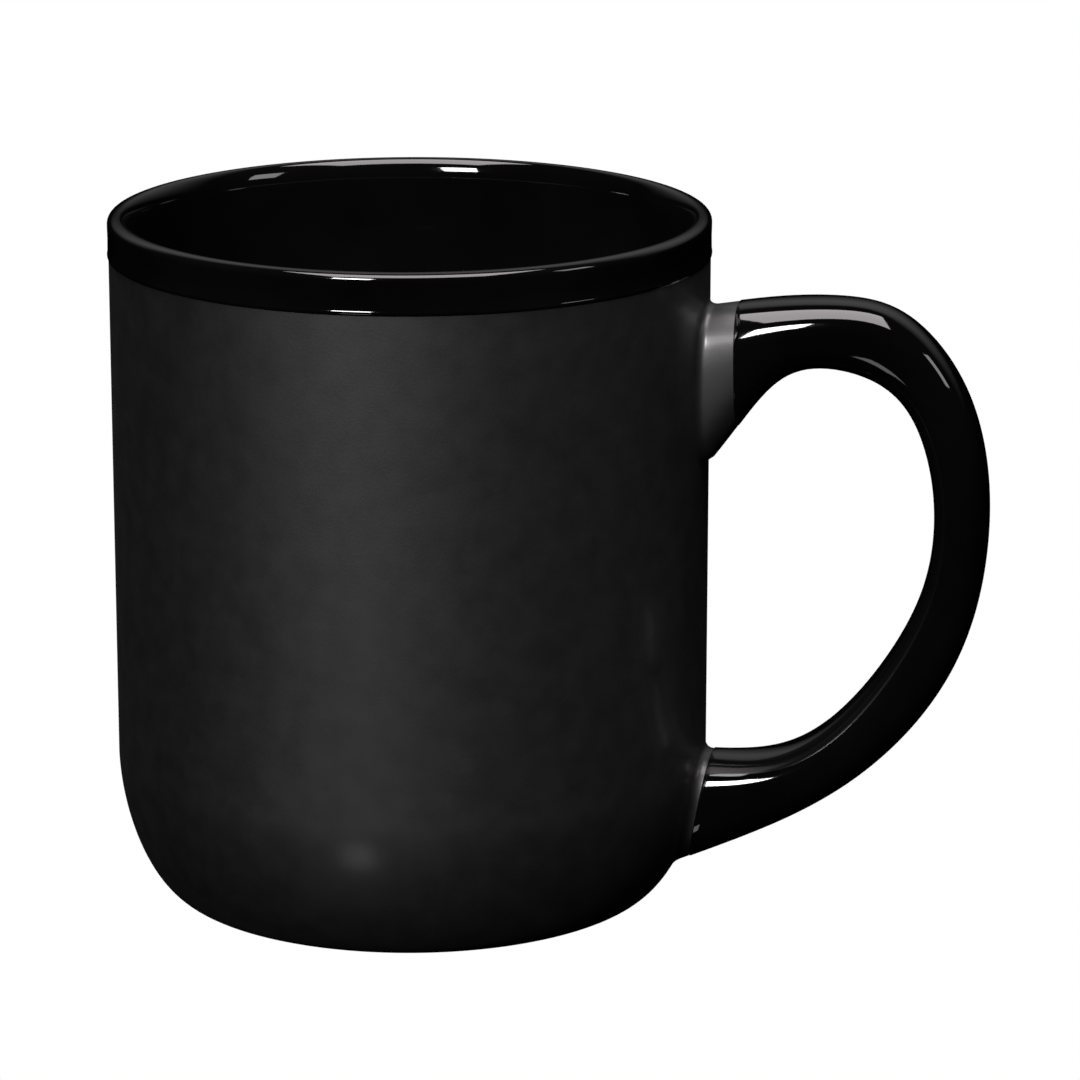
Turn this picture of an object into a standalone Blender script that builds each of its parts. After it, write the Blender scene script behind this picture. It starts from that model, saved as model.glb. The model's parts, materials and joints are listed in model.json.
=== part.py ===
"""A ceramic mug, in metres: formed cup, stuck-on loop handle, and the glaze coats over both.

Frame: the origin is on the cup's axis at the surface it stands on, +Z is up and the handle is on +X.

The cup is described by its clay. Each glaze coat is the clay's own surface moved outwards, first by GAP,
which keeps neighbouring pieces apart, and then by COAT, the glaze's thickness. The handle is described by
its finished outer surface, and its coat and core are that surface moved inwards.
"""

import math

import bmesh
import bpy
from mathutils import Vector

# Cup, finished sizes
HEIGHT = 0.1058
BAND_RADIUS = 0.04445
WALL_TOP_RADIUS = 0.0443
WALL_BELLY_RADIUS = 0.0441
BAND_HEIGHT = 0.0062
LIP_THICKNESS = 0.0034
WALL_THICKNESS = 0.0046
FLOOR_HEIGHT = 0.0072

# The rounded bottom of the cup is a quarter of a blunted ellipse outside, and of a plain one inside
BELLY_TOP = 0.0248
BELLY_WIDTH = 0.0100
BELLY_HEIGHT = 0.0220
BELLY_SQUARENESS = 1.77
BOWL_WIDTH = 0.0137
BOWL_HEIGHT = 0.0177
LIP_TAPER_BOTTOM = 0.0830
LIP_TAPER_TOP = 0.0980

# Foot: the ring's bare clay, and the glaze on its outer side down to just above the chamfer
FOOT_OUTER_RADIUS = 0.0238
FOOT_INNER_RADIUS = 0.0204
FOOT_CHAMFER = 0.0004
FOOT_GLAZE_BOTTOM = 0.0005
RECESS_FACE_HEIGHT = 0.0009

# Glaze and the clearance between neighbouring pieces
COAT = 0.0004
GAP = 0.0003
BAND_PROUD = BAND_RADIUS - WALL_TOP_RADIUS
SKIN = COAT + GAP

# Handle: at each station, from the upper root round to the lower one, the back's reach and height and
# then the finger side's reach and height
HANDLE_STATIONS = (
    (0.0440, 0.0933, 0.0445, 0.0695),
    (0.0486, 0.0940, 0.0490, 0.0756),
    (0.0554, 0.0949, 0.0542, 0.0821),
    (0.0648, 0.0952, 0.0608, 0.0851),
    (0.0741, 0.0924, 0.0696, 0.0832),
    (0.0824, 0.0821, 0.0755, 0.0767),
    (0.0860, 0.0666, 0.0782, 0.0655),
    (0.0845, 0.0496, 0.0769, 0.0528),
    (0.0788, 0.0359, 0.0712, 0.0409),
    (0.0694, 0.0249, 0.0633, 0.0313),
    (0.0568, 0.0163, 0.0545, 0.0263),
    (0.0404, 0.0087, 0.0441, 0.0255),
)
HANDLE_SQUARENESS = 2.6

# Handle's width: full near each root, then easing to the waist between these stations from that root
HANDLE_ROOT_WIDTH = 0.0136
HANDLE_WAIST_WIDTH = 0.0110
UPPER_NARROWING = (1.0, 5.0)
LOWER_NARROWING = (0.0, 4.0)
ROOT_FILLET = 0.0014
FILLET_RISE = 0.5

# Masking lines between matte and gloss, counted in stations from the upper root
UPPER_MASK = 1.06
LOWER_MASK = 10.87
MASK_GAP = 0.03

# Fineness
TURN_STEPS = 48
ARC_STEPS = 6
BELLY_STEPS = 9
LIP_STEPS = 6
RINGS_PER_STATION = 3
RING_POINTS = 20
CAP_ROWS = 6


def clear_scene():
    for item in list(bpy.data.objects):
        bpy.data.objects.remove(item, do_unlink=True)


def material(name, colour, roughness):
    made = bpy.data.materials.new(name)
    made.use_nodes = True
    shader = made.node_tree.nodes["Principled BSDF"]
    shader.inputs["Base Color"].default_value = (*colour, 1.0)
    shader.inputs["Roughness"].default_value = roughness
    shader.inputs["Metallic"].default_value = 0.0
    return made


def add_object(name, shape, finish):
    """Turns a bmesh into a named object with its faces pointing outwards."""
    bmesh.ops.recalc_face_normals(shape, faces=shape.faces)
    mesh = bpy.data.meshes.new(name)
    shape.to_mesh(mesh)
    shape.free()
    mesh.shade_smooth()
    mesh.set_sharp_from_angle(angle=math.radians(40))
    made = bpy.data.objects.new(name, mesh)
    if finish:
        mesh.materials.append(finish)
    bpy.context.scene.collection.objects.link(made)
    return made


# Outlines of the cup, as (radius, height) pairs


def bulged(value, squareness):
    """A cosine or sine raised so that its circle grows squarer above 2, stays round at 2, flatter below."""
    return math.copysign(abs(value) ** (2 / squareness), value)


def ellipse_arc(centre, width, height, start, end, steps, squareness=2.0):
    """Points of an ellipse round centre, from start to end degrees, counted up from the outward radius."""
    points = []
    for step in range(steps + 1):
        angle = math.radians(start + (end - start) * step / steps)
        across = width * bulged(math.cos(angle), squareness)
        points.append((centre[0] + across, centre[1] + height * bulged(math.sin(angle), squareness)))
    return points


def moved_out(points, distance):
    """Each point of an open outline, moved to the outline's left by distance. Ends on the axis stay on it."""
    moved = []
    for index, point in enumerate(points):
        here = Vector(point)
        before = Vector(points[max(index - 1, 0)])
        after = Vector(points[min(index + 1, len(points) - 1)])
        directions = [step.normalized() for step in (here - before, after - here) if step.length > 0]
        along = sum(directions, Vector((0.0, 0.0))).normalized()
        left = Vector((-along.y, along.x))
        stretch = 1 / max(left.dot(Vector((-directions[0].y, directions[0].x))), 0.5)
        place = here + left * distance * stretch
        moved.append((0.0 if point[0] == 0 else place.x, place.y))
    return moved


def clay_inside():
    """The clay's inner surface, from the middle of the floor to the start of the lip."""
    radius = BAND_RADIUS - WALL_THICKNESS + SKIN
    floor = FLOOR_HEIGHT - SKIN
    width = BOWL_WIDTH - SKIN
    height = BOWL_HEIGHT - SKIN
    bowl = ellipse_arc((radius - width, floor + height), width, height, -90, 0, ARC_STEPS)
    lip_radius = BAND_RADIUS - LIP_THICKNESS + SKIN
    return [(0.0, floor), *bowl, (radius, LIP_TAPER_BOTTOM), (lip_radius, LIP_TAPER_TOP)]


def clay_lip():
    """The rounded top of the clay, from its inner side to its outer side."""
    inner = BAND_RADIUS - LIP_THICKNESS + SKIN
    outer = BAND_RADIUS - SKIN - BAND_PROUD
    half = (outer - inner) / 2
    return ellipse_arc((inner + half, HEIGHT - SKIN - half), half, half, 180, 0, LIP_STEPS)


def wall_radius(height, inset=0.0):
    """The cup's outside radius at a height, moved inwards by inset."""
    if height >= BELLY_TOP:
        share = (height - BELLY_TOP) / (HEIGHT - BAND_HEIGHT - BELLY_TOP)
        return WALL_BELLY_RADIUS + (WALL_TOP_RADIUS - WALL_BELLY_RADIUS) * min(share, 1.0) - inset
    drop = (BELLY_TOP - height) / (BELLY_HEIGHT - inset)
    middle = WALL_BELLY_RADIUS - BELLY_WIDTH
    share = max(1 - drop**BELLY_SQUARENESS, 0.0) ** (1 / BELLY_SQUARENESS)
    return middle + (BELLY_WIDTH - inset) * share


def clay_belly():
    """The clay's outer surface below the band, from the band's lower edge to where it meets the foot."""
    middle = (WALL_BELLY_RADIUS - BELLY_WIDTH, BELLY_TOP)
    size = (BELLY_WIDTH - SKIN, BELLY_HEIGHT - SKIN)
    curve = ellipse_arc(middle, *size, 0, -90, BELLY_STEPS, BELLY_SQUARENESS)
    top = HEIGHT - BAND_HEIGHT
    return [(wall_radius(top, SKIN), top), *curve, (FOOT_OUTER_RADIUS, curve[-1][1])]


def clay_foot():
    """The bare foot ring and the ceiling of the recess inside it, ending on the axis."""
    ceiling = RECESS_FACE_HEIGHT + SKIN
    return [
        (FOOT_OUTER_RADIUS, FOOT_CHAMFER),
        (FOOT_OUTER_RADIUS - FOOT_CHAMFER, 0.0),
        (FOOT_INNER_RADIUS + FOOT_CHAMFER, 0.0),
        (FOOT_INNER_RADIUS, FOOT_CHAMFER),
        (FOOT_INNER_RADIUS, ceiling),
        (0.0, ceiling),
    ]


def turned(name, outline, finish, closed=False):
    """A solid of revolution about Z. A closed outline is a loop, an open one ends on the axis."""
    shape = bmesh.new()
    corners = [shape.verts.new((radius, 0.0, height)) for radius, height in outline]
    pairs = list(zip(corners, corners[1:]))
    if closed:
        pairs.append((corners[-1], corners[0]))
    edges = [shape.edges.new(pair) for pair in pairs]
    bmesh.ops.spin(
        shape,
        geom=corners + edges,
        cent=(0.0, 0.0, 0.0),
        axis=(0.0, 0.0, 1.0),
        angle=2 * math.pi,
        steps=TURN_STEPS,
        use_merge=True,
    )
    bmesh.ops.remove_doubles(shape, verts=shape.verts, dist=1e-6)
    return add_object(name, shape, finish)


# The handle


def between_stations(place):
    """The back and the finger side of the handle at a place along it, on a Catmull-Rom curve."""
    last = len(HANDLE_STATIONS) - 1
    index = min(int(place), last - 1)
    part = place - index

    def station(number):
        if 0 <= number <= last:
            return Vector(HANDLE_STATIONS[number])
        end = 0 if number < 0 else last
        inner = 1 if number < 0 else last - 1
        return 2 * Vector(HANDLE_STATIONS[end]) - Vector(HANDLE_STATIONS[inner])

    a, b, c, d = (station(index + step) for step in (-1, 0, 1, 2))
    point = 0.5 * (
        2 * b + (c - a) * part + (2 * a - 5 * b + 4 * c - d) * part**2 + (3 * b - a - 3 * c + d) * part**3
    )
    return Vector((point[0], point[1])), Vector((point[2], point[3]))


def handle_width(place):
    """The handle's width at a place along it."""
    from_lower = len(HANDLE_STATIONS) - 1 - place
    if place < from_lower:
        share = (place - UPPER_NARROWING[0]) / (UPPER_NARROWING[1] - UPPER_NARROWING[0])
    else:
        share = (from_lower - LOWER_NARROWING[0]) / (LOWER_NARROWING[1] - LOWER_NARROWING[0])
    share = min(max(share, 0.0), 1.0)
    eased = share * share * (3 - 2 * share)
    return HANDLE_ROOT_WIDTH + (HANDLE_WAIST_WIDTH - HANDLE_ROOT_WIDTH) * eased


def handle_ring(place, inset, fillet=0.0, on_wall=None):
    """Points round the handle. on_wall puts the ring on the cup's outside, that far from its surface."""
    back, finger = between_stations(place)
    middle = (back + finger) / 2
    upward = (back - finger).normalized()
    half_thickness = (back - finger).length / 2 - inset
    half_width = handle_width(place) / 2 - inset
    if fillet:
        clear = min(max(middle.x - wall_radius(middle.y), 0.0), fillet)
        spread = fillet - math.sqrt(fillet**2 - (fillet - clear) ** 2)
        half_thickness += spread * FILLET_RISE
        half_width += spread
    points = []
    for step in range(RING_POINTS):
        angle = 2 * math.pi * step / RING_POINTS
        flat = middle + upward * half_thickness * bulged(math.cos(angle), HANDLE_SQUARENESS)
        point = Vector((flat.x, half_width * bulged(math.sin(angle), HANDLE_SQUARENESS), flat.y))
        points.append(point if on_wall is None else against_wall(point, on_wall))
    return points


def against_wall(point, distance):
    """The point slid along X until it is that far outside the cup's wall."""
    radius = wall_radius(point.z, -distance)
    return Vector((math.sqrt(radius**2 - point.y**2), point.y, point.z))


def places(start, end):
    """Where the handle's rings are: the two ends and the even steps between them."""
    inner = []
    for step in range(1, (len(HANDLE_STATIONS) - 1) * RINGS_PER_STATION):
        place = step / RINGS_PER_STATION
        if start + 0.1 < place < end - 0.1:
            inner.append(place)
    return [start, *inner, end]


def handle_rings(start, end, inset, fillet=0.0):
    """Rings from start to end. A ring at either root lies along the cup's wall, a gap away from it."""
    roots = (0.0, float(len(HANDLE_STATIONS) - 1))
    rings = []
    for place in places(start, end):
        on_wall = GAP if place in roots else None
        rings.append(handle_ring(place, inset, fillet, on_wall))
    return rings


def skin_rings(shape, rings):
    """Adds the rings to the shape and joins each to the next with faces."""
    corners = [[shape.verts.new(point) for point in ring] for ring in rings]
    for ring, following in zip(corners, corners[1:]):
        join_rings(shape, ring, following)
    return corners


def join_rings(shape, ring, following):
    count = len(ring)
    for step in range(count):
        after = (step + 1) % count
        shape.faces.new((ring[step], ring[after], following[after], following[step]))


def close_on_wall(shape, ring, distance):
    """Closes a ring that lies on the cup's wall with rows of faces that follow the wall."""
    count = len(ring)
    quarter = count // 4
    columns = []
    for step in range(-quarter, quarter + 1):
        top = ring[step % count]
        bottom = ring[(count // 2 - step) % count]
        if top is bottom:
            columns.append([top])
            continue
        column = [top]
        for row in range(1, CAP_ROWS):
            point = top.co.lerp(bottom.co, row / CAP_ROWS)
            column.append(shape.verts.new(against_wall(point, distance)))
        column.append(bottom)
        columns.append(column)
    for column, following in zip(columns, columns[1:]):
        for row in range(CAP_ROWS):
            corners = []
            for side, rows in ((column, (row, row + 1)), (following, (row + 1, row))):
                for wanted in rows:
                    corner = side[min(wanted, len(side) - 1)]
                    if corner not in corners:
                        corners.append(corner)
            shape.faces.new(corners)


def handle_core(finish):
    shape = bmesh.new()
    corners = skin_rings(shape, handle_rings(0.0, float(len(HANDLE_STATIONS) - 1), SKIN))
    close_on_wall(shape, corners[0], GAP)
    close_on_wall(shape, corners[-1], GAP)
    return add_object("handle_core", shape, finish)


def handle_sleeve(name, start, end, finish, fillet=0.0):
    """A coat of glaze round the handle's core, open at both ends."""
    shape = bmesh.new()
    outer = skin_rings(shape, handle_rings(start, end, 0.0, fillet))
    inner = skin_rings(shape, handle_rings(start, end, COAT, 0.0))
    join_rings(shape, outer[0], inner[0])
    join_rings(shape, outer[-1], inner[-1])
    return add_object(name, shape, finish)


def root_block(name, place, inset, inner_distance, outer_distance, finish=None):
    """A block with the outline of a handle root, between two distances from the cup's wall."""
    shape = bmesh.new()
    distances = (inner_distance, outer_distance)
    corners = skin_rings(shape, [handle_ring(place, inset, 0.0, distance) for distance in distances])
    for ring, distance in zip(corners, distances):
        close_on_wall(shape, ring, distance)
    return add_object(name, shape, finish)


def make_cup(clay, gloss, matte):
    inside, lip, belly = clay_inside(), clay_lip(), clay_belly()
    clay_outline = [*inside, *lip, *belly, *clay_foot()]
    turned("cup_body", clay_outline, clay)

    band_bottom = HEIGHT - BAND_HEIGHT
    poured = [*inside, *lip]
    under = [*moved_out(poured, GAP), (BAND_RADIUS - COAT - BAND_PROUD, band_bottom)]
    over = [*moved_out(poured[:-LIP_STEPS - 1], SKIN), *finished_lip(), (BAND_RADIUS, band_bottom)]
    turned("liner_glaze", [*over, *reversed(under)], gloss)

    matte_top = band_bottom - GAP
    below = [(wall_radius(matte_top, SKIN), matte_top), *belly[1:], (FOOT_OUTER_RADIUS, FOOT_GLAZE_BOTTOM)]
    coat = [*moved_out(below, GAP), *reversed(moved_out(below, SKIN))]
    turned("outer_glaze", coat, matte, closed=True)

    edge = FOOT_INNER_RADIUS - GAP
    face = RECESS_FACE_HEIGHT
    turned("recess_glaze", [(0.0, face), (edge, face), (edge, face + COAT), (0.0, face + COAT)], matte)


def finished_lip():
    """The rounded top of the glazed lip, from its inner side to its outer side."""
    half = LIP_THICKNESS / 2
    return ellipse_arc((BAND_RADIUS - half, HEIGHT - half), half, half, 180, 0, LIP_STEPS)


def make_handle(clay, slip, gloss, matte):
    lower_root = float(len(HANDLE_STATIONS) - 1)
    handle_core(clay)
    handle_sleeve("upper_root_collar", 0.0, UPPER_MASK - MASK_GAP, matte, ROOT_FILLET)
    handle_sleeve("handle_glaze", UPPER_MASK + MASK_GAP, LOWER_MASK - MASK_GAP, gloss)
    handle_sleeve("lower_root_collar", LOWER_MASK + MASK_GAP, lower_root, matte, ROOT_FILLET)
    for name, place in (("upper", 0.0), ("lower", lower_root)):
        root_block(f"{name}_slip_joint", place, SKIN, -COAT, 0.0, slip)
        window = root_block(f"{name}_window", place, COAT, -SKIN, GAP)
        window.hide_render = True
        window.display_type = "WIRE"
        cut = bpy.data.objects["outer_glaze"].modifiers.new(f"{name}_window", "BOOLEAN")
        cut.operation = "DIFFERENCE"
        cut.object = window


def main():
    clear_scene()
    clay = material("dark_stoneware", (0.16, 0.14, 0.13), 0.8)
    slip = material("joining_slip", (0.20, 0.17, 0.15), 0.85)
    gloss = material("gloss_black_glaze", (0.012, 0.012, 0.013), 0.08)
    matte = material("matte_black_glaze", (0.022, 0.022, 0.023), 0.5)
    make_cup(clay, gloss, matte)
    make_handle(clay, slip, gloss, matte)


main()
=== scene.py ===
"""Looks of a ceramic mug: its fine meshes, glazes and clay, and a plain studio round it.

Everything is in metres. The cup's axis is Z, it stands at zero height and its handle is on +X.
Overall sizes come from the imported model: boxes of its nodes and heights of its mounts. The handle's line,
the cup's rounded bottom, its walls and the glaze's thickness repeat the design's own driving sizes.
"""

from __future__ import annotations

import json
import logging
import math
from dataclasses import dataclass, field
from enum import Enum
from itertools import pairwise
from typing import Callable

import bmesh
import bpy
import numpy as np
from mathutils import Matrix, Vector


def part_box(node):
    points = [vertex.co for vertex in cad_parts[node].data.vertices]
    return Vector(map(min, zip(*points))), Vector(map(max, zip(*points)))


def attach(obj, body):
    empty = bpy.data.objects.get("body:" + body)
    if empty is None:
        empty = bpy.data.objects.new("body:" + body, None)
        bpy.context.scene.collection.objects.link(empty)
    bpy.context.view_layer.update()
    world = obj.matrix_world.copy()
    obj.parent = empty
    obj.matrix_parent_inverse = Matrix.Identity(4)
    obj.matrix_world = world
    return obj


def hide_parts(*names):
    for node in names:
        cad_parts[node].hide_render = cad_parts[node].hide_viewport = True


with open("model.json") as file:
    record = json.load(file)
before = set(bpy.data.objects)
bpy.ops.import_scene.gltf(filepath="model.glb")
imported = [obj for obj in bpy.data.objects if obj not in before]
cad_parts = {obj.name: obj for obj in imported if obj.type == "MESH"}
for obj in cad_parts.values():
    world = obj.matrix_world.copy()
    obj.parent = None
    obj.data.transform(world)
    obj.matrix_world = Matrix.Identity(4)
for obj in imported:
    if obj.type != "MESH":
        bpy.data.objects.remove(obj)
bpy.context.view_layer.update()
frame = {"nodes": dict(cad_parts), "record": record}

Point = tuple[float, float]
Outline = list[Point]
Colour = tuple[float, float, float]

log = logging.getLogger("mug")

# Corners nearer than this are one corner
MERGE_DISTANCE = 1e-6
# Edges sharper than this stay sharp
SHARP_ANGLE = math.radians(40)


class Slot(Enum):
    """The record's material slots."""

    CLAY = "clay"
    SLIP = "slip"
    GLOSS = "gloss_glaze"
    MATTE = "matte_glaze"


class End(Enum):
    """The handle's two ends, as the number of the station at the root."""

    UPPER = 0
    LOWER = 11


# Workbench: selecting, and shapes that several pieces need


def put_down() -> None:
    """Leaves edit mode and clears the selection."""
    if bpy.context.mode != "OBJECT":
        bpy.ops.object.mode_set(mode="OBJECT")
    bpy.ops.object.select_all(action="DESELECT")


def settle(piece: bpy.types.Object) -> None:
    """Moves the piece's place, turn and scale into its mesh."""
    bpy.ops.object.transform_apply(location=True, rotation=True, scale=True)
    piece.data.name = piece.name


def finish_modifier(piece: bpy.types.Object, kind: str, **settings: object) -> None:
    """Adds a modifier and applies it.

    Args:
        piece: the object, which is active and in object mode.
        kind: the modifier's type.
        settings: values of the modifier's properties.
    """
    modifier = piece.modifiers.new(kind.title(), kind)
    for name, value in settings.items():
        setattr(modifier, name, value)
    bpy.ops.object.modifier_apply(modifier=modifier.name)


def face_outwards() -> None:
    """Merges doubles and turns the faces of the mesh in edit mode outwards, then leaves edit mode."""
    bpy.ops.mesh.select_all(action="SELECT")
    bpy.ops.mesh.remove_doubles(threshold=MERGE_DISTANCE)
    bpy.ops.mesh.normals_make_consistent(inside=False)
    bpy.ops.object.mode_set(mode="OBJECT")


def bulged(value: float, squareness: float) -> float:
    """Raises a cosine or sine so that its circle grows squarer above 2, and flatter below it."""
    return math.copysign(abs(value) ** (2 / squareness), value)


def arc(centre: Point, size: Point, start: float, end: float, steps: int, squareness: float = 2.0) -> Outline:
    """Points of an ellipse.

    Args:
        centre: radius and height of its middle.
        size: its half width and half height.
        start: first angle in degrees, counted up from the outward radius.
        end: last angle in degrees.
        steps: how many steps there are between them.
        squareness: 2 for an ellipse, more for one that bulges towards its box, less for a flatter one.

    Returns:
        The points as radius and height.
    """
    points = []
    for step in range(steps + 1):
        angle = math.radians(start + (end - start) * step / steps)
        across = size[0] * bulged(math.cos(angle), squareness)
        points.append((centre[0] + across, centre[1] + size[1] * bulged(math.sin(angle), squareness)))
    return points


def offset(points: Outline, distance: float) -> Outline:
    """Moves an open outline sideways.

    Args:
        points: the outline, as radius and height.
        distance: how far it moves to its own left. Ends on the axis stay on it.

    Returns:
        The moved outline.
    """
    moved = []
    for index, point in enumerate(points):
        here = Vector(point)
        before = Vector(points[max(index - 1, 0)])
        after = Vector(points[min(index + 1, len(points) - 1)])
        directions = [step.normalized() for step in (here - before, after - here) if step.length > 0]
        along = sum(directions, Vector((0.0, 0.0))).normalized()
        left = Vector((-along.y, along.x))
        stretch = 1 / max(left.dot(Vector((-directions[0].y, directions[0].x))), 0.5)
        place = here + left * distance * stretch
        moved.append((0.0 if point[0] == 0 else place.x, place.y))
    return moved


def turned(name: str, outline: Outline, steps: int = 192) -> bpy.types.Object:
    """Turns an outline round the cup's axis, as on a wheel.

    Args:
        name: the piece's name.
        outline: a closed outline, or an open one whose ends are on the axis.
        steps: how many faces go round.

    Returns:
        The finished piece.
    """
    put_down()
    closed = outline[0][0] > 0
    bpy.ops.mesh.primitive_plane_add(size=0.001, location=(outline[0][0], 0.0, outline[0][1]))
    piece = bpy.context.object
    piece.name = name
    settle(piece)
    bpy.ops.object.mode_set(mode="EDIT")
    bpy.ops.mesh.merge(type="CENTER")
    for before, after in pairwise([*outline, outline[0]] if closed else outline):
        step = (after[0] - before[0], 0.0, after[1] - before[1])
        bpy.ops.mesh.extrude_vertices_move(TRANSFORM_OT_translate={"value": step})
    bpy.ops.mesh.select_all(action="SELECT")
    bpy.ops.mesh.remove_doubles(threshold=MERGE_DISTANCE)
    bpy.ops.mesh.select_all(action="SELECT")
    bpy.ops.mesh.spin(steps=steps, angle=2 * math.pi, center=(0.0, 0.0, 0.0), axis=(0.0, 0.0, 1.0))
    face_outwards()
    bpy.ops.object.shade_smooth_by_angle(angle=SHARP_ANGLE)
    return piece


# Finishes


@dataclass
class Board:
    """A material's node tree, with short calls to add and join nodes."""

    material: bpy.types.Material

    @classmethod
    def named(cls, name: str) -> Board:
        """Starts a material of that name.

        Args:
            name: the material's name.

        Returns:
            The board with the new material.
        """
        material = bpy.data.materials.new(name)
        material.use_nodes = True
        return cls(material)

    @property
    def shader(self) -> bpy.types.Node:
        """The material's Principled shader."""
        return self.material.node_tree.nodes["Principled BSDF"]

    def add(self, kind: str, **values: object) -> bpy.types.Node:
        """Adds a node.

        Args:
            kind: the node's type without its ShaderNode prefix.
            values: input values by name, with _ for a space.

        Returns:
            The node.
        """
        node = self.material.node_tree.nodes.new("ShaderNode" + kind)
        for name, value in values.items():
            node.inputs[name.replace("_", " ")].default_value = value
        return node

    def join(self, source: bpy.types.NodeSocket, target: bpy.types.NodeSocket) -> None:
        """Links an output to an input."""
        self.material.node_tree.links.new(source, target)

    def set(self, **values: object) -> None:
        """Sets the shader's own values, by socket name with _ for a space."""
        for name, value in values.items():
            self.shader.inputs[name.replace("_", " ")].default_value = value

    def noise(self, size: float, detail: float = 2.0, roughness: float = 0.5) -> bpy.types.NodeSocket:
        """Noise on the piece's own coordinates.

        Args:
            size: the size of its patches, in metres.
            detail: how many finer layers it has.
            roughness: how strong the finer layers are.

        Returns:
            The noise's value, from 0 to 1.
        """
        place = self.add("TexCoord")
        pattern = self.add("TexNoise", Scale=1 / size, Detail=detail, Roughness=roughness)
        self.join(place.outputs["Object"], pattern.inputs["Vector"])
        return pattern.outputs["Fac"]

    def specks(self, size: float, reach: float) -> bpy.types.NodeSocket:
        """Sparse round specks on the piece's own coordinates.

        Args:
            size: how far apart they are, in metres.
            reach: a speck's radius, as a share of size.

        Returns:
            1 at the middle of a speck, and 0 outside it.
        """
        place = self.add("TexCoord")
        pattern = self.add("TexVoronoi", Scale=1 / size)
        self.join(place.outputs["Object"], pattern.inputs["Vector"])
        return self.ranged(pattern.outputs["Distance"], (reach, 0.0), (0.0, 1.0))

    def ranged(self, source: bpy.types.NodeSocket, taken: Point, given: Point) -> bpy.types.NodeSocket:
        """Maps a value from one range to another.

        Args:
            source: the value.
            taken: the range it is read on.
            given: the range it is mapped to.

        Returns:
            The mapped value.
        """
        low, high = sorted(taken)
        first, last = given if taken[0] < taken[1] else given[::-1]
        node = self.add("MapRange", From_Min=low, From_Max=high, To_Min=first, To_Max=last)
        self.join(source, node.inputs["Value"])
        return node.outputs["Result"]

    def coloured(self, source: bpy.types.NodeSocket, stops: dict[float, Vector]) -> bpy.types.NodeSocket:
        """Turns a value into a colour.

        Args:
            source: the value.
            stops: colours by the value they stand at.

        Returns:
            The colour.
        """
        node = self.add("ValToRGB")
        ramp = node.color_ramp
        for element, (place, colour) in zip(ramp.elements, sorted(stops.items())):
            element.position = place
            element.color = (*colour, 1.0)
        self.join(source, node.inputs["Fac"])
        return node.outputs["Color"]

    def bump(self, height: bpy.types.NodeSocket, depth: float) -> None:
        """Adds a relief over the ones that the shader has.

        Args:
            height: the relief, from 0 to 1.
            depth: its depth in metres.
        """
        node = self.add("Bump", Distance=depth)
        self.join(height, node.inputs["Height"])
        normal = self.shader.inputs["Normal"]
        if normal.is_linked:
            self.join(normal.links[0].from_socket, node.inputs["Normal"])
        self.join(node.outputs["Normal"], normal)


@dataclass(frozen=True)
class GlossGlaze:
    """Poured black glaze that ran smooth: deep, slightly wavy, with a faint orange peel."""

    thick: Colour = (0.0012, 0.0012, 0.0014)
    thin: Colour = (0.0026, 0.0024, 0.0023)
    roughness: Point = (0.030, 0.060)
    wave: float = 0.013
    wave_depth: float = 0.00003
    peel: float = 0.0013
    peel_depth: float = 0.0000015

    def made(self) -> bpy.types.Material:
        """Builds the glaze's material.

        Returns:
            The material.
        """
        board = Board.named("gloss_black_glaze")
        board.set(IOR=1.52, Coat_Weight=0.0)
        tone = board.noise(0.02, 3.0)
        colour = board.coloured(tone, {0.35: self.thick, 0.70: self.thin})
        board.join(colour, board.shader.inputs["Base Color"])
        smear = board.noise(0.006, 4.0)
        board.join(board.ranged(smear, (0.3, 0.7), self.roughness), board.shader.inputs["Roughness"])
        board.bump(board.noise(self.wave, 1.0), self.wave_depth)
        board.bump(board.noise(self.peel, 1.0), self.peel_depth)
        return board.material


@dataclass(frozen=True)
class MatteGlaze:
    """Satin black glaze: a fine eggshell grain under a thin, sharper sheen."""

    dark: Colour = (0.0006, 0.0006, 0.0007)
    light: Colour = (0.0014, 0.0013, 0.0013)
    roughness: Point = (0.50, 0.56)
    specular: float = 0.8
    grain: float = 0.00038
    grain_depth: float = 0.000012
    sheen: float = 0.38
    sheen_roughness: float = 0.20

    def made(self) -> bpy.types.Material:
        """Builds the glaze's material.

        Returns:
            The material.
        """
        board = Board.named("matte_black_glaze")
        board.set(IOR=1.5, Specular_IOR_Level=self.specular)
        board.set(Coat_Weight=self.sheen, Coat_Roughness=self.sheen_roughness, Coat_IOR=1.5)
        tone = board.noise(self.grain, 3.0, 0.6)
        colour = board.coloured(tone, {0.35: self.dark, 0.65: self.light})
        board.join(colour, board.shader.inputs["Base Color"])
        patches = board.noise(0.004, 5.0)
        board.join(board.ranged(patches, (0.3, 0.7), self.roughness), board.shader.inputs["Roughness"])
        board.bump(board.noise(0.009, 2.0), self.grain_depth * 2)
        board.bump(board.noise(self.grain, 2.0), self.grain_depth)
        return board.material


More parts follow.
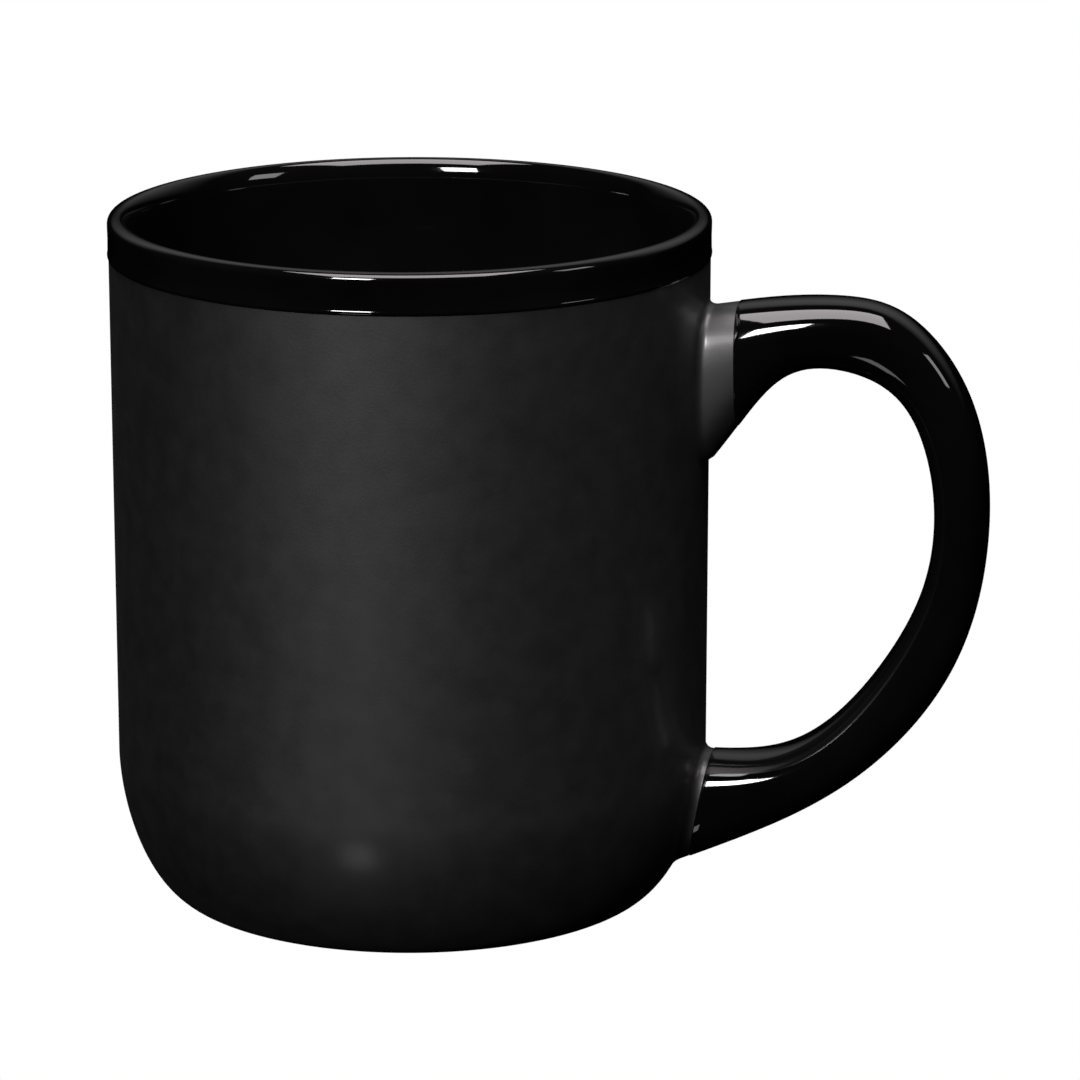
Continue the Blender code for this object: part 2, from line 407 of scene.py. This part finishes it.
@dataclass(frozen=True)
class FiredClay:
    """Bare fired clay: dry, grainy and speckled with iron."""

    name: str
    dark: Colour
    light: Colour
    speckle: Colour = (0.045, 0.032, 0.026)
    grain: float = 0.0005
    grain_depth: float = 0.00003

    def made(self) -> bpy.types.Material:
        """Builds the clay's material.

        Returns:
            The material.
        """
        board = Board.named(self.name)
        board.set(IOR=1.45)
        body = board.coloured(board.noise(0.0012, 5.0, 0.65), {0.30: self.dark, 0.70: self.light})
        iron = board.specks(0.0022, 0.20)
        mixed = board.add("Mix")
        mixed.data_type = "RGBA"
        factor, first, second, result = (*(mixed.inputs[number] for number in (0, 6, 7)), mixed.outputs[2])
        second.default_value = (*self.speckle, 1.0)
        board.join(board.ranged(iron, (0.0, 0.5), (0.0, 0.8)), factor)
        board.join(body, first)
        board.join(result, board.shader.inputs["Base Color"])
        dryness = board.ranged(board.noise(0.003), (0.3, 0.7), (0.78, 0.92))
        board.join(dryness, board.shader.inputs["Roughness"])
        board.bump(board.noise(self.grain, 4.0, 0.6), self.grain_depth)
        return board.material


@dataclass
class Finishes:
    """The mug's four finishes, by slot."""

    materials: dict[Slot, bpy.types.Material] = field(default_factory=dict)

    def __post_init__(self) -> None:
        """Builds each finish once."""
        clay = FiredClay("fired_clay", (0.120, 0.100, 0.088), (0.200, 0.172, 0.150))
        slip = FiredClay("joining_slip", (0.160, 0.138, 0.120), (0.235, 0.205, 0.180), grain_depth=0.00005)
        for slot, finish in (
            (Slot.GLOSS, GlossGlaze()),
            (Slot.MATTE, MatteGlaze()),
            (Slot.CLAY, clay),
            (Slot.SLIP, slip),
        ):
            self.materials[slot] = finish.made()

    def dress(self, piece: bpy.types.Object, slot: Slot) -> None:
        """Gives a new piece its finish.

        Args:
            piece: the piece.
            slot: the finish it gets.
        """
        piece.data.materials.clear()
        piece.data.materials.append(self.materials[slot])

    def dress_nodes(self) -> None:
        """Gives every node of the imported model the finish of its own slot."""
        for subpart in frame["record"]["subparts"]:
            node = frame["nodes"][subpart["node"]]
            for holder in node.material_slots:
                holder.material = self.materials[Slot(subpart["material_slot"])]


def place_piece(piece: bpy.types.Object, *nodes: str) -> None:
    """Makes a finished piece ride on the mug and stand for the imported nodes.

    Args:
        piece: the finished piece.
        nodes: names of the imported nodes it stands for.
    """
    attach(piece, "root")
    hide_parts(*nodes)
    log.info("%s: %d faces, stands for %s", piece.name, len(piece.data.polygons), ", ".join(nodes))


# The mug's own sub-assemblies


def mount_height(name: str) -> float:
    """Height of one of the record's mounts."""
    return next(mount["pos_m"][2] for mount in frame["record"]["mounts"] if mount["name"] == name)


@dataclass
class Cup:
    """The cup: its clay, the gloss liner poured over its inside and lip, and the matte coat outside."""

    height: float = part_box("liner_glaze")[1].z
    band_radius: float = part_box("liner_glaze")[1].x
    band_bottom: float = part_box("liner_glaze")[1].z - 0.0062
    wall_top_radius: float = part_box("outer_glaze")[1].x
    floor_height: float = mount_height("inside_floor")
    recess_height: float = mount_height("foot_recess")
    coat: float = 0.0004
    gap: float = 0.0003

    wall_belly_radius: float = 0.0441
    belly_top: float = 0.0248
    belly_size: Point = (0.0100, 0.0220)
    belly_squareness: float = 1.77

    wall_thickness: float = 0.0046
    lip_thickness: float = 0.0034
    bowl_size: Point = (0.0137, 0.0177)
    lip_taper: Point = (0.0830, 0.0980)
    lip_inner_size: Point = (0.0017, 0.0036)
    lip_outer_size: Point = (0.0017, 0.0013)
    lip_outer_squareness: float = 2.6

    bead_proud: float = 0.00005
    bead_radius: float = 0.0006

    foot_radius: float = 0.0245
    foot_fillet: float = 0.0003
    foot_glaze_bottom: float = 0.0005
    foot_land: Point = (0.0208, 0.0234)
    foot_round: float = 0.0004
    recess_creep: float = 0.0005

    upright_steps: int = 9
    taper_steps: int = 8

    def outer_radius(self, height: float) -> float:
        """The finished wall's radius at a height.

        Args:
            height: the height.

        Returns:
            The radius.
        """
        if height >= self.belly_top:
            share = (height - self.belly_top) / (self.band_bottom - self.belly_top)
            return self.wall_belly_radius + (self.wall_top_radius - self.wall_belly_radius) * min(share, 1.0)
        drop = min((self.belly_top - height) / self.belly_size[1], 1.0)
        share = (1 - drop**self.belly_squareness) ** (1 / self.belly_squareness)
        return self.wall_belly_radius - self.belly_size[0] * (1 - share)

    def slope(self, height: float) -> float:
        """How fast the finished wall's radius grows with height."""
        step = 0.00002
        return (self.outer_radius(height + step) - self.outer_radius(height - step)) / (2 * step)

    def clearance(self, point: Vector) -> float:
        """A point's distance outside the finished wall."""
        sideways = math.hypot(point.x, point.y) - self.outer_radius(point.z)
        return sideways / math.hypot(1.0, self.slope(point.z))

    def normal(self, point: Vector) -> Vector:
        """The wall's outward direction nearest to a point."""
        across = Vector((point.x, point.y, 0.0)).normalized()
        return (across - Vector((0.0, 0.0, self.slope(point.z)))).normalized()

    def touching(self, point: Vector, distance: float = 0.0) -> Vector:
        """The point moved straight towards or away from the wall until it is at a distance from it.

        Args:
            point: the point.
            distance: how far outside the wall it ends, or inside where negative.

        Returns:
            The moved point.
        """
        for _ in range(4):  # each round comes closer, and a few reach the wall
            point = point - self.normal(point) * (self.clearance(point) - distance)
        return point

    def inside(self) -> Outline:
        """The glazed inside, from the middle of the floor to the start of the lip.

        Returns:
            The outline.
        """
        radius = self.band_radius - self.wall_thickness
        lip_radius = self.band_radius - self.lip_thickness
        centre = (radius - self.bowl_size[0], self.floor_height + self.bowl_size[1])
        bowl = arc(centre, self.bowl_size, -90, 0, 24)
        low, high = self.lip_taper
        taper = []
        for step in range(self.taper_steps + 1):
            share = step / self.taper_steps
            eased = share * share * (3 - 2 * share)
            taper.append((radius + (lip_radius - radius) * eased, low + (high - low) * share))
        return [(0.0, self.floor_height), (centre[0] / 2, self.floor_height), *bowl, *taper]

    def lip(self) -> Outline:
        """The glazed lip, from its long inner slope over to its tighter outer side.

        Returns:
            The outline.
        """
        crest = self.band_radius - self.lip_outer_size[0]
        slope = arc((crest, self.height - self.lip_inner_size[1]), self.lip_inner_size, 180, 90, 16)
        outer = self.lip_outer_size
        edge = arc((crest, self.height - outer[1]), outer, 90, 0, 14, self.lip_outer_squareness)
        return [*slope, *edge[1:]]

    def band(self) -> Outline:
        """The band below the lip, down to the rolled bead where the poured glaze stopped.

        Returns:
            The outline.
        """
        radius = self.bead_radius
        centre = (self.band_radius + self.bead_proud - radius, self.band_bottom + radius)
        under = math.degrees(math.acos((self.wall_top_radius - centre[0]) / radius))
        bead = arc(centre, (radius, radius), 28, -under, 12)
        hollow = (self.band_radius - self.bead_proud, (self.height + self.band_bottom) / 2)
        return [hollow, *bead, (bead[-1][0] - self.coat / 2, bead[-1][1] - self.coat / 8)]

    def wall(self) -> Outline:
        """The matte wall, from just under the bead down to the foot.

        Returns:
            The outline.
        """
        top = self.band_bottom + self.bead_radius
        straight = []
        for step in range(self.upright_steps):
            height = top + (self.belly_top - top) * step / self.upright_steps
            straight.append((self.outer_radius(height), height))
        centre = (self.wall_belly_radius - self.belly_size[0], self.belly_top)
        return [*straight, *arc(centre, self.belly_size, 0, -90, 40, self.belly_squareness)]

    def foot_side(self) -> Outline:
        """The glazed side of the foot, from under the belly down to its rolled lower edge.

        Returns:
            The outline.
        """
        radius = self.foot_fillet
        top = self.belly_top - self.belly_size[1]
        fillet = arc((self.foot_radius + radius, top - radius), (radius, radius), 90, 180, 5)
        edge = (self.foot_radius - radius / 2, self.foot_glaze_bottom)
        return [*fillet, *arc(edge, (radius / 2, radius / 3), 0, -90, 4)]

    def foot(self) -> Outline:
        """The bare clay foot, from its outer side round its land to its inner side.

        Returns:
            The outline.
        """
        inner, outer = self.foot_land
        radius = self.foot_round
        outside = arc((outer, radius), (radius, radius), 0, -90, 5)
        return [*outside, *arc((inner, radius), (radius, radius), -90, -180, 5)]

    def build_clay(self) -> bpy.types.Object:
        """Turns the cup's clay, which shows only at the foot.

        Returns:
            The finished piece.
        """
        skin = -(self.coat + self.gap)
        formed = offset([*self.inside(), *self.lip(), *self.wall()[1:]], skin)
        ceiling = self.recess_height - skin
        under = self.foot_land[1] + self.foot_round
        inner = self.foot_land[0] - self.foot_round
        foot = [(under, formed[-1][1]), *self.foot(), (inner, ceiling), (0.0, ceiling)]
        return turned("cup_clay", [*formed, *foot])

    def build_liner(self) -> bpy.types.Object:
        """Turns the poured liner: inside, lip, band and bead.

        Returns:
            The finished piece.
        """
        over = [*self.inside(), *self.lip(), *self.band()]
        under = offset([*self.inside(), *self.lip(), (self.band_radius, self.band_bottom)], -self.coat)
        return turned("poured_liner", [*over, *reversed(under)])

    def build_wall_coat(self) -> bpy.types.Object:
        """Turns the matte coat of the wall, the rounded bottom and the foot's side.

        Returns:
            The finished piece.
        """
        over = [*self.wall(), *self.foot_side()]
        under = offset(self.wall(), -self.coat)
        inner = self.foot_radius - self.coat
        return turned("wall_coat", [*over, (inner, over[-1][1]), (inner, under[-1][1]), *reversed(under)])

    def build_recess(self) -> bpy.types.Object:
        """Turns the glazed face inside the foot, which creeps down the foot's inner side.

        Returns:
            The finished piece.
        """
        edge = self.foot_land[0] - self.foot_round - self.gap / 3
        creep = self.recess_creep
        meniscus = arc((edge - creep, self.recess_height - creep), (creep, creep), 90, 0, 6)
        top = self.recess_height + self.coat
        start = [(0.0, self.recess_height), (edge / 2, self.recess_height)]
        return turned("recess_coat", [*start, *meniscus, (edge, top), (0.0, top)])

    def build(self, finishes: Finishes) -> None:
        """Builds and dresses the cup's pieces.

        Args:
            finishes: the mug's finishes.
        """
        for make, slot, node in (
            (self.build_clay, Slot.CLAY, "cup_body"),
            (self.build_liner, Slot.GLOSS, "liner_glaze"),
            (self.build_wall_coat, Slot.MATTE, "outer_glaze"),
            (self.build_recess, Slot.MATTE, "recess_glaze"),
        ):
            piece = make()
            finishes.dress(piece, slot)
            place_piece(piece, node)


@dataclass(frozen=True)
class Section:
    """A cut across the handle: a squarish ellipse round its middle, its upward side on the handle's back."""

    middle: Vector
    upward: Vector
    half_thickness: float
    half_width: float
    squareness: float

    @property
    def tilt(self) -> float:
        """How far the way to the back leans from upright towards +X, in radians."""
        return math.atan2(self.upward.x, self.upward.z)

    def outward(self, angle: float) -> Vector:
        """The outline's outward direction at an angle counted from the back.

        Args:
            angle: the angle, in radians.

        Returns:
            The direction.
        """
        bulge = self.squareness / (self.squareness - 1)
        rise = bulged(math.cos(angle), bulge) / self.half_thickness
        side = bulged(math.sin(angle), bulge) / self.half_width
        return (self.upward * rise + Vector((0.0, side, 0.0))).normalized()

    def place(self, angle: float, inset: float = 0.0) -> Vector:
        """The outline's point at an angle counted from the back, moved inwards by inset.

        Args:
            angle: the angle, in radians.
            inset: how far it moves inwards.

        Returns:
            The point.
        """
        rise = self.half_thickness * bulged(math.cos(angle), self.squareness)
        side = self.half_width * bulged(math.sin(angle), self.squareness)
        return self.middle + self.upward * rise + Vector((0.0, side, 0.0)) - self.outward(angle) * inset


@dataclass
class Handle:
    """The handle: a gloss coat from mask line to mask line, and a matte collar at each root."""

    cup: Cup
    root_width: float = 0.0136
    waist_width: float = 0.0110
    # Where the width eases from the root's to the waist's, in stations from that root
    narrowing: dict[End, Point] = field(
        default_factory=lambda: {End.UPPER: (1.0, 5.0), End.LOWER: (0.0, 4.0)}
    )
    squareness: float = 2.6
    coat: float = 0.0004
    gloss_proud: float = 0.00012
    ring_spacing: float = 0.0011
    ring_points: int = 64
    stretch_steps: int = 6
    fillet_steps: int = 12
    spline_marks: int = 40
    # Width of the gloss coat's rolled edge, as a multiple of how proud it stands
    rolled_edge: float = 1.2
    rolled_angle: float = math.radians(60)
    sharp_angle: float = math.radians(50)
    # Where matte meets gloss, counted in stations
    masks: dict[End, float] = field(default_factory=lambda: {End.UPPER: 1.06, End.LOWER: 10.87})
    # Radius of the fillet onto the wall, at the handle's back, side and finger side
    fillets: dict[End, tuple[float, float, float]] = field(
        default_factory=lambda: {End.UPPER: (0.0016, 0.0012, 0.0006), End.LOWER: (0.0007, 0.0016, 0.0016)}
    )
    # Radius that rounds off the finger side where it runs into the wall
    tips: dict[End, float] = field(default_factory=lambda: {End.UPPER: 0.0016, End.LOWER: 0.0003})
    # Reach and height of the back, then of the finger side, from the upper root round to the lower one
    stations: tuple[tuple[float, float, float, float], ...] = (
        (0.0440, 0.0933, 0.0445, 0.0695),
        (0.0486, 0.0940, 0.0490, 0.0756),
        (0.0554, 0.0949, 0.0542, 0.0821),
        (0.0648, 0.0952, 0.0608, 0.0851),
        (0.0741, 0.0924, 0.0696, 0.0832),
        (0.0824, 0.0821, 0.0755, 0.0767),
        (0.0860, 0.0666, 0.0782, 0.0655),
        (0.0845, 0.0496, 0.0769, 0.0528),
        (0.0788, 0.0359, 0.0712, 0.0409),
        (0.0694, 0.0249, 0.0633, 0.0313),
        (0.0568, 0.0163, 0.0545, 0.0263),
        (0.0404, 0.0087, 0.0441, 0.0255),
    )

    def __post_init__(self) -> None:
        """Fits a natural cubic spline through the stations and measures along the handle's middle."""
        self.values = np.array(self.stations)
        count = len(self.values)
        system = np.eye(count)
        wanted = np.zeros_like(self.values)
        for row in range(1, count - 1):
            system[row, row - 1 : row + 2] = (1, 4, 1)
            wanted[row] = 6 * (self.values[row - 1] - 2 * self.values[row] + self.values[row + 1])
        self.bends = np.linalg.solve(system, wanted)
        self.marks = np.linspace(0.0, count - 1, self.spline_marks * count)
        rails = np.array([self.rails(mark) for mark in self.marks])
        middles = (rails[:, :2] + rails[:, 2:]) / 2
        steps = np.linalg.norm(np.diff(middles, axis=0), axis=1)
        self.lengths = np.concatenate([[0.0], np.cumsum(steps)])

    def rails(self, station: float) -> np.ndarray:
        """Reach and height of the back and of the finger side, at a place counted in stations.

        Args:
            station: the place.

        Returns:
            The four values, the back's first.
        """
        index = int(np.clip(station, 0, len(self.values) - 2))
        after = station - index
        before = 1 - after
        curve = (before**3 - before) * self.bends[index] + (after**3 - after) * self.bends[index + 1]
        return before * self.values[index] + after * self.values[index + 1] + curve / 6

    def width(self, station: float) -> float:
        """The handle's width at a place counted in stations, narrowest round the loop.

        Args:
            station: the place.

        Returns:
            The width.
        """
        from_lower = len(self.values) - 1 - station
        near, far = self.narrowing[End.UPPER if station < from_lower else End.LOWER]
        share = min(max((min(station, from_lower) - near) / (far - near), 0.0), 1.0)
        return self.root_width + (self.waist_width - self.root_width) * share * share * (3 - 2 * share)

    def distance(self, station: float) -> float:
        """Distance along the handle's middle of a place counted in stations."""
        return float(np.interp(station, self.marks, self.lengths))

    def section(self, distance: float, proud: float = 0.0) -> Section:
        """The cut across the handle at a distance along it, made larger all round by proud.

        Args:
            distance: how far along the handle's middle it is.
            proud: how much larger it is.

        Returns:
            The cut.
        """
        station = float(np.interp(distance, self.lengths, self.marks))
        rails = self.rails(station)
        back = Vector((rails[0], 0.0, rails[1]))
        finger = Vector((rails[2], 0.0, rails[3]))
        half = (back - finger).length / 2 + proud
        across = (back - finger).normalized()
        half_width = self.width(station) / 2 + proud
        return Section((back + finger) / 2, across, half, half_width, self.squareness)

    def start_ring(self, name: str, section: Section) -> bpy.types.Object:
        """Makes the first ring of a coat, a circle bulged to the section's outline, with its points numbered.

        Args:
            name: the piece's name.
            section: the cut across the handle where the ring lies.

        Returns:
            The piece, in edit mode, with the ring selected.
        """
        put_down()
        bpy.ops.mesh.primitive_circle_add(
            vertices=self.ring_points, radius=section.half_thickness, location=section.middle,
            rotation=(0.0, math.pi / 2 + section.tilt, 0.0),
        )
        piece = bpy.context.object
        piece.name = name
        settle(piece)
        bpy.ops.object.mode_set(mode="EDIT")
        shape = bmesh.from_edit_mesh(piece.data)
        order = shape.verts.layers.int.new("corner")
        for corner in shape.verts:
            angle = math.atan2(corner.co.y, (corner.co - section.middle).dot(section.upward))
            corner[order] = round(angle * self.ring_points / (2 * math.pi)) % self.ring_points
            corner.co = section.place(angle)
        bmesh.update_edit_mesh(piece.data)
        bpy.ops.mesh.select_mode(type="VERT")
        bpy.ops.mesh.select_all(action="SELECT")
        return piece

    @staticmethod
    def pull(sections: list[Section]) -> None:
        """Extrudes the selected ring from section to section, turning and thinning it as the handle goes.

        Args:
            sections: cuts across the handle, in order. The ring lies on the first.
        """
        for before, after in pairwise(sections):
            step = after.middle - before.middle
            pivot = {"orient_type": "GLOBAL", "center_override": after.middle}
            growth = (1.0, after.half_width / before.half_width, after.half_thickness / before.half_thickness)
            bpy.ops.mesh.extrude_region_move(TRANSFORM_OT_translate={"value": step})
            # With no window a turn goes the other way about its axis: upright first, then to the new tilt
            bpy.ops.transform.rotate(value=before.tilt, orient_axis="Y", **pivot)
            bpy.ops.transform.resize(value=growth, **pivot)
            bpy.ops.transform.rotate(value=-after.tilt, orient_axis="Y", **pivot)

    def build_gloss(self) -> bpy.types.Object:
        """Pulls the gloss coat from mask line to mask line, rolled over at both ends.

        Returns:
            The finished piece.
        """
        start, end = (self.distance(self.masks[root]) for root in End)
        count = round((end - start) / self.ring_spacing)
        places = [start + (end - start) * number / count for number in range(count + 1)]
        sections = [self.section(place, self.gloss_proud) for place in places]
        piece = self.start_ring("handle_coat", sections[0])
        self.pull(sections)
        face_outwards()
        finish_modifier(piece, "SOLIDIFY", thickness=self.coat, offset=-1.0)
        finish_modifier(
            piece, "BEVEL", width=self.gloss_proud * self.rolled_edge, segments=3, limit_method="ANGLE",
            angle_limit=self.rolled_angle,
        )
        bpy.ops.object.shade_smooth_by_angle(angle=self.sharp_angle)
        return piece

    @staticmethod
    def lay_ring(piece: bpy.types.Object, points: list[Vector]) -> None:
        """Extrudes the selected ring and lays it on points, as no operator follows two curved surfaces.

        Args:
            piece: the piece, in edit mode.
            points: where the ring's points go, in order round it.
        """
        bpy.ops.mesh.extrude_region_move()
        shape = bmesh.from_edit_mesh(piece.data)
        order = shape.verts.layers.int["corner"]
        for corner in shape.verts:
            if corner.select:
                corner.co = points[corner[order]]
        bmesh.update_edit_mesh(piece.data)

    def build_collar(self, root: End, name: str) -> bpy.types.Object:
        """Lays a matte collar from a mask line down the handle and out over the cup's wall in a fillet.

        Args:
            root: which root it is on.
            name: the piece's name.

        Returns:
            The finished piece.
        """
        base = self.distance(root.value)
        inward = 1.0 if root is End.UPPER else -1.0
        reach = abs(self.distance(self.masks[root]) - base) + self.coat
        tip = self.tips[root]
        piece = self.start_ring(name, self.section(base + inward * reach))
        angles = [2 * math.pi * number / self.ring_points for number in range(self.ring_points)]

        def on_handle(angle: float, away: float, inset: float = 0.0) -> Vector:
            """The handle's surface, rounded off towards the wall on its finger side.

            Args:
                angle: where round the handle, counted from the back.
                away: distance from the root.
                inset: how far the point moves inwards.

            Returns:
                The point.
            """
            cut = self.section(base + inward * away)
            finger = max(-cut.outward(angle).dot(cut.upward), 0.0) ** 2
            short = max(tip - max(away, 0.0), 0.0)
            tuck = tip - math.sqrt(max(tip * tip - short * short, 0.0))
            return cut.place(angle, inset + tuck * finger)

        rows = [self.fillet(angle, root, reach, on_handle) for angle in angles]
        for number in range(len(rows[0])):
            self.lay_ring(piece, [row[number] for row in rows])
        self.lay_ring(piece, [on_handle(angle, reach, self.coat) for angle in angles])
        bpy.ops.mesh.select_all(action="DESELECT")
        bpy.ops.mesh.select_non_manifold()
        bpy.ops.mesh.bridge_edge_loops()
        face_outwards()
        bpy.ops.object.shade_smooth_by_angle(angle=SHARP_ANGLE)
        return piece

    def fillet(self, angle: float, root: End, reach: float, on_handle: Callable[..., Vector]) -> list[Vector]:
        """One line of a collar, from the mask line to the wall, out over it, and back under.

        Args:
            angle: where round the handle the line runs, counted from the back.
            root: which root the collar is on.
            reach: distance of the mask line from the root.
            on_handle: gives the handle's surface at an angle and a distance from the root.

        Returns:
            The line's points.
        """
        back, side, finger = self.fillets[root]
        cut = self.section(self.distance(root.value))
        outward = cut.outward(angle)
        upright = outward.dot(cut.upward) ** 2
        radius = side * (1 - upright) + (back if math.cos(angle) > 0 else finger) * upright
        leave = solved(lambda away: self.cup.clearance(on_handle(angle, away)) - radius, 0.0, reach)
        start = on_handle(angle, leave)
        nearby = 0.0004
        towards = (start - on_handle(angle, leave + nearby)).normalized()
        longest = 8 * radius
        run = solved(lambda way: -self.cup.clearance(start + towards * way), 0.0, longest)
        meet = start + towards * run
        normal = self.cup.normal(meet)
        outward = (outward - normal * outward.dot(normal)).normalized()
        end = self.cup.touching(meet + outward * radius)
        stretch = self.stretch_steps
        line = [on_handle(angle, reach + (leave - reach) * step / stretch) for step in range(1, stretch)]
        for step in range(self.fillet_steps + 1):
            share = step / self.fillet_steps
            line.append(start * (1 - share) ** 2 + meet * 2 * share * (1 - share) + end * share**2)
        sunk = self.coat / 3
        line.append(self.cup.touching(end + outward * sunk / 2, -sunk))
        line.append(self.cup.touching(meet - outward * self.coat, -sunk))
        return line

    def build(self, finishes: Finishes) -> None:
        """Builds and dresses the handle's pieces.

        Args:
            finishes: the mug's finishes.
        """
        gloss = self.build_gloss()
        finishes.dress(gloss, Slot.GLOSS)
        place_piece(gloss, "handle_glaze")
        for root, name in ((End.UPPER, "upper"), (End.LOWER, "lower")):
            collar = self.build_collar(root, f"{name}_collar")
            finishes.dress(collar, Slot.MATTE)
            place_piece(collar, f"{name}_root_collar")


def solved(value: Callable[[float], float], low: float, high: float) -> float:
    """Where a growing function crosses zero.

    Args:
        value: the function.
        low: a place below the crossing.
        high: a place above it.

    Returns:
        The place, or the nearer end if there is no crossing between them.
    """
    halvings = 30
    for _ in range(halvings):
        middle = (low + high) / 2
        if value(middle) < 0:
            low = middle
        else:
            high = middle
    return (low + high) / 2


# Studio


def direction(azimuth: float, elevation: float) -> Vector:
    """The way to look from, for an azimuth that is 0 in front of the mug and 90 at its handle, in degrees."""
    turn, rise = math.radians(azimuth), math.radians(elevation)
    return Vector((math.sin(turn) * math.cos(rise), -math.cos(turn) * math.cos(rise), math.sin(rise)))


@dataclass(frozen=True)
class Softbox:
    """A rectangular studio light that faces the mug."""

    name: str
    azimuth: float
    elevation: float
    size: Point
    power: float
    distance: float = 1.2
    colour: Colour = (1.0, 1.0, 1.0)

    def hang(self, aim: Vector) -> None:
        """Adds the light, facing the aim.

        Args:
            aim: the point it faces.
        """
        back = direction(self.azimuth, self.elevation)
        lamp = bpy.data.lights.new(self.name, "AREA")
        lamp.shape = "RECTANGLE"
        lamp.size, lamp.size_y = self.size
        lamp.energy = self.power
        lamp.color = self.colour
        light = bpy.data.objects.new(self.name, lamp)
        bpy.context.scene.collection.objects.link(light)
        light.location = aim + back * self.distance
        light.rotation_mode = "QUATERNION"
        light.rotation_quaternion = back.to_track_quat("Z", "Y")
        light.visible_camera = False


@dataclass
class Studio:
    """Camera, softboxes, floor and surroundings."""

    aim: tuple[float, float, float] = (0.01885, 0.00332, 0.05599)
    azimuth: float = 10.0
    elevation: float = 14.61
    distance: float = 0.8508
    lens: float = 190.13
    floor_size: float = 6.0
    # How bright the backdrop is behind the mug, by the sine of the height above the horizon
    backdrop: tuple[Point, ...] = (
        (0.0, 0.0),
        (0.15, 0.0),
        (0.3, 0.12),
        (0.5, 0.33),
        (0.75, 0.45),
        (0.85, 0.0),
    )
    # Sideways to backwards: the shares of +Y in a direction between which the backdrop comes up
    backdrop_start: Point = (0.3, 0.7)
    softboxes: tuple[Softbox, ...] = (
        Softbox("key_softbox", -12.0, 28.5, (0.28, 0.26), 12.8, colour=(1.0, 0.98, 0.985)),
        Softbox("key_table_glow", -12.0, -33.0, (0.22, 0.20), 0.28),
        Softbox("side_softbox", 78.0, 28.5, (0.28, 0.30), 1.1),
        Softbox("overhead_softbox", 10.0, 79.0, (1.05, 1.0), 24.0, colour=(1.0, 0.93, 0.95)),
    )

    def place_camera(self) -> None:
        """Puts the camera in front of the mug, looking down on it a little."""
        camera = bpy.data.objects.new("camera", bpy.data.cameras.new("camera"))
        bpy.context.scene.collection.objects.link(camera)
        back = direction(self.azimuth, self.elevation)
        camera.location = Vector(self.aim) + back * self.distance
        camera.rotation_mode = "QUATERNION"
        camera.rotation_quaternion = (-back).to_track_quat("-Z", "Y")
        camera.data.lens = self.lens
        bpy.context.scene.camera = camera

    def lay_floor(self) -> None:
        """Lays a plain white floor that shows from above and lets views from below through."""
        put_down()
        bpy.ops.mesh.primitive_plane_add(size=self.floor_size, location=(0.0, 0.0, 0.0))
        floor = bpy.context.object
        floor.name = "studio_floor"
        board = Board.named("floor_paper")
        nodes = board.material.node_tree.nodes
        paper = board.add("Emission", Color=(1.0, 1.0, 1.0, 1.0), Strength=1.0)
        clear = board.add("BsdfTransparent")
        side = board.add("NewGeometry")
        mixed = board.add("MixShader")
        board.join(side.outputs["Backfacing"], mixed.inputs[0])
        board.join(paper.outputs[0], mixed.inputs[1])
        board.join(clear.outputs[0], mixed.inputs[2])
        board.join(mixed.outputs[0], nodes["Material Output"].inputs["Surface"])
        floor.data.materials.append(board.material)
        for ray in ("diffuse", "glossy", "transmission", "volume_scatter", "shadow"):
            setattr(floor, f"visible_{ray}", False)

    def surround(self) -> None:
        """Makes the backdrop white, and what the glaze mirrors dark but for a pale stretch behind the mug."""
        world = bpy.data.worlds.new("studio")
        world.use_nodes = True
        bpy.context.scene.world = world
        tree = world.node_tree
        place = tree.nodes.new("ShaderNodeTexCoord")
        axes = tree.nodes.new("ShaderNodeSeparateXYZ")
        tree.links.new(place.outputs["Generated"], axes.inputs[0])
        behind = tree.nodes.new("ShaderNodeMapRange")
        behind.inputs["From Min"].default_value = self.backdrop_start[0]
        behind.inputs["From Max"].default_value = self.backdrop_start[1]
        tree.links.new(axes.outputs["Y"], behind.inputs["Value"])
        ramp = tree.nodes.new("ShaderNodeValToRGB")
        tree.links.new(axes.outputs["Z"], ramp.inputs["Fac"])
        while len(ramp.color_ramp.elements) < len(self.backdrop):
            ramp.color_ramp.elements.new(1.0)
        for element, (rise, brightness) in zip(ramp.color_ramp.elements, self.backdrop):
            element.position = rise
            element.color = (brightness, brightness, brightness, 1.0)
        seen = tree.nodes.new("ShaderNodeLightPath")
        white = tree.nodes.new("ShaderNodeBackground")
        white.inputs["Color"].default_value = (1.0, 1.0, 1.0, 1.0)
        mixed = tree.nodes.new("ShaderNodeMixShader")
        pale = tree.nodes["Background"]
        tree.links.new(ramp.outputs["Color"], pale.inputs["Color"])
        tree.links.new(behind.outputs["Result"], pale.inputs["Strength"])
        tree.links.new(seen.outputs["Is Camera Ray"], mixed.inputs[0])
        tree.links.new(pale.outputs[0], mixed.inputs[1])
        tree.links.new(white.outputs[0], mixed.inputs[2])
        tree.links.new(mixed.outputs[0], tree.nodes["World Output"].inputs["Surface"])

    def build(self) -> None:
        """Sets up the whole studio."""
        self.place_camera()
        self.lay_floor()
        self.surround()
        for softbox in self.softboxes:
            softbox.hang(Vector(self.aim))
        bpy.context.scene.view_settings.view_transform = "Standard"


def main() -> None:
    """Builds the studio and the mug, piece by piece."""
    logging.basicConfig(level=logging.INFO, format="%(name)s: %(message)s", force=True)
    Studio().build()
    finishes = Finishes()
    finishes.dress_nodes()
    cup = Cup()
    cup.build(finishes)
    Handle(cup).build(finishes)


if __name__ == "__main__":
    main()
